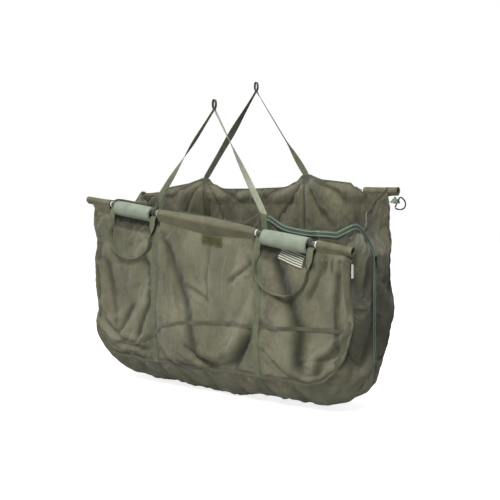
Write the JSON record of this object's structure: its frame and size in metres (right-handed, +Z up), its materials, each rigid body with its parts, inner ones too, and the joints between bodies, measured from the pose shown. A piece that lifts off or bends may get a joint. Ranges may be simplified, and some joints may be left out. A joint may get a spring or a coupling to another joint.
{
  "type": "weigh sling",
  "caption": "Folding mesh sling on two poles that holds a large fish while it is weighed, hung from a strap at each side, with padded grips, carry loops and zipped ends.",
  "frame": {"origin": "where the rear weigh strap's eye bears on the hook that holds it up", "axes": "+X along the poles towards the end with the D-ring, +Y from the front pole to the rear one, +Z up"},
  "size_m": [1.2499, 0.378, 1.1653],
  "materials": {
    "anodised_tube": "satin anodised",
    "black_plug": "matte",
    "white_nylon_collar": "matte",
    "olive_sleeve_cloth": "woven polyester",
    "olive_mesh": "fine soft mesh",
    "dark_mesh": "fine soft mesh",
    "olive_webbing": "flat webbing",
    "dark_webbing": "flat webbing",
    "sage_grip": "padded coated cloth",
    "green_zip": "zip tape with moulded teeth",
    "gunmetal": "dark plated",
    "woven_label": "woven",
    "care_label": "printed cloth",
    "white_label": "satin ribbon"
  },
  "bodies": {
    "bag_base": {"base_panel": "olive_mesh", "left_base_corner": "olive_mesh", "right_base_corner": "olive_mesh", "base_left_girth_strap": "olive_webbing", "base_right_girth_strap": "olive_webbing", "left_end_front": "olive_mesh", "left_end_rear": "olive_mesh", "right_end_front": "olive_mesh", "right_end_rear": "olive_mesh", "left_end_zip": "green_zip", "right_end_zip": "green_zip", "side_label": "white_label"},
    "front_side": {"front_pole": "anodised_tube", "front_left_pole_plug": "black_plug", "front_right_pole_plug": "black_plug", "front_left_inner_collar": "white_nylon_collar", "front_left_outer_collar": "white_nylon_collar", "front_right_inner_collar": "white_nylon_collar", "front_right_outer_collar": "white_nylon_collar", "front_centre_sleeve": "olive_sleeve_cloth", "front_left_sleeve": "olive_sleeve_cloth", "front_right_sleeve": "olive_sleeve_cloth", "front_panel": "olive_mesh", "front_flap": "dark_mesh", "front_left_girth_strap": "olive_webbing", "front_right_girth_strap": "olive_webbing", "name_label": "woven_label", "care_label": "care_label"},
    "rear_side": {"rear_pole": "anodised_tube", "rear_left_pole_plug": "black_plug", "rear_right_pole_plug": "black_plug", "rear_left_inner_collar": "white_nylon_collar", "rear_left_outer_collar": "white_nylon_collar", "rear_right_inner_collar": "white_nylon_collar", "rear_right_outer_collar": "white_nylon_collar", "rear_centre_sleeve": "olive_sleeve_cloth", "rear_left_sleeve": "olive_sleeve_cloth", "rear_right_sleeve": "olive_sleeve_cloth", "rear_panel": "olive_mesh", "rear_flap": "dark_mesh", "rear_left_girth_strap": "olive_webbing", "rear_right_girth_strap": "olive_webbing", "d_ring_tab": "sage_grip"},
    "front_strap": {"front_weigh_strap": "dark_webbing"},
    "front_left_handle": {"front_left_grip": "sage_grip", "front_left_carry_loop": "olive_webbing"},
    "front_right_handle": {"front_right_grip": "sage_grip", "front_right_carry_loop": "olive_webbing"},
    "rear_strap": {"rear_weigh_strap": "dark_webbing"},
    "rear_left_handle": {"rear_left_grip": "sage_grip", "rear_left_carry_loop": "olive_webbing"},
    "rear_right_handle": {"rear_right_grip": "sage_grip", "rear_right_carry_loop": "olive_webbing"},
    "left_slider": {"left_zip_slider": "gunmetal"},
    "left_pull": {"left_zip_pull": "gunmetal"},
    "right_slider": {"right_zip_slider": "gunmetal"},
    "right_pull": {"right_zip_pull": "gunmetal"},
    "ring": {"d_ring": "gunmetal"}
  },
  "joints": [
    {"name": "front_side_fold", "type": "hinge", "parent": "bag_base", "child": "front_side", "pos_m": [-0.01, -0.30525, -1.07625], "axis": [-1, 0, 0], "range_deg": [0, 10.5], "deforming": ["left_end_front", "right_end_front"]},
    {"name": "rear_side_fold", "type": "hinge", "parent": "bag_base", "child": "rear_side", "pos_m": [-0.01, 0.01475, -1.07625], "axis": [1, 0, 0], "range_deg": [0, 10.5], "deforming": ["left_end_rear", "right_end_rear"]},
    {"name": "front_strap_fold", "type": "hinge", "parent": "front_side", "child": "front_strap", "pos_m": [-0.00112, -0.29155, -0.46783], "axis": [0.9914, 0, -0.1305], "range_deg": [0, 150]},
    {"name": "front_left_handle_turn", "type": "hinge", "parent": "front_side", "child": "front_left_handle", "pos_m": [-0.01, -0.30525, -0.53525], "axis": [-0.9914, 0, 0.1305], "range_deg": [0, 150]},
    {"name": "front_right_handle_turn", "type": "hinge", "parent": "front_side", "child": "front_right_handle", "pos_m": [-0.01, -0.30525, -0.53525], "axis": [-0.9914, 0, 0.1305], "range_deg": [0, 150]},
    {"name": "rear_strap_fold", "type": "hinge", "parent": "rear_side", "child": "rear_strap", "pos_m": [-0.01131, 0.00105, -0.36376], "axis": [-0.9998, 0, -0.0192], "range_deg": [0, 150]},
    {"name": "rear_left_handle_turn", "type": "hinge", "parent": "rear_side", "child": "rear_left_handle", "pos_m": [-0.01, 0.01475, -0.43175], "axis": [0.9998, 0, 0.0192], "range_deg": [0, 150]},
    {"name": "rear_right_handle_turn", "type": "hinge", "parent": "rear_side", "child": "rear_right_handle", "pos_m": [-0.01, 0.01475, -0.43175], "axis": [0.9998, 0, 0.0192], "range_deg": [0, 150]},
    {"name": "left_slider_travel", "type": "slide", "parent": "bag_base", "child": "left_slider", "axis": [0, 0, -1], "range_m": [0, 0.25]},
    {"name": "left_pull_swing", "type": "hinge", "parent": "left_slider", "child": "left_pull", "pos_m": [-0.618, -0.14525, -0.64625], "axis": [0, 1, 0], "range_deg": [0, 170]},
    {"name": "right_slider_travel", "type": "slide", "parent": "bag_base", "child": "right_slider", "axis": [0, 0, -1], "range_m": [0, 0.25]},
    {"name": "right_pull_swing", "type": "hinge", "parent": "right_slider", "child": "right_pull", "pos_m": [0.598, -0.14525, -0.64625], "axis": [0, -1, 0], "range_deg": [0, 170]},
    {"name": "ring_swing", "type": "hinge", "parent": "rear_side", "child": "ring", "pos_m": [0.59608, 0.01475, -0.46005], "axis": [0.4524, 0, 0.8918], "range_deg": [-80, 80]}
  ]
}
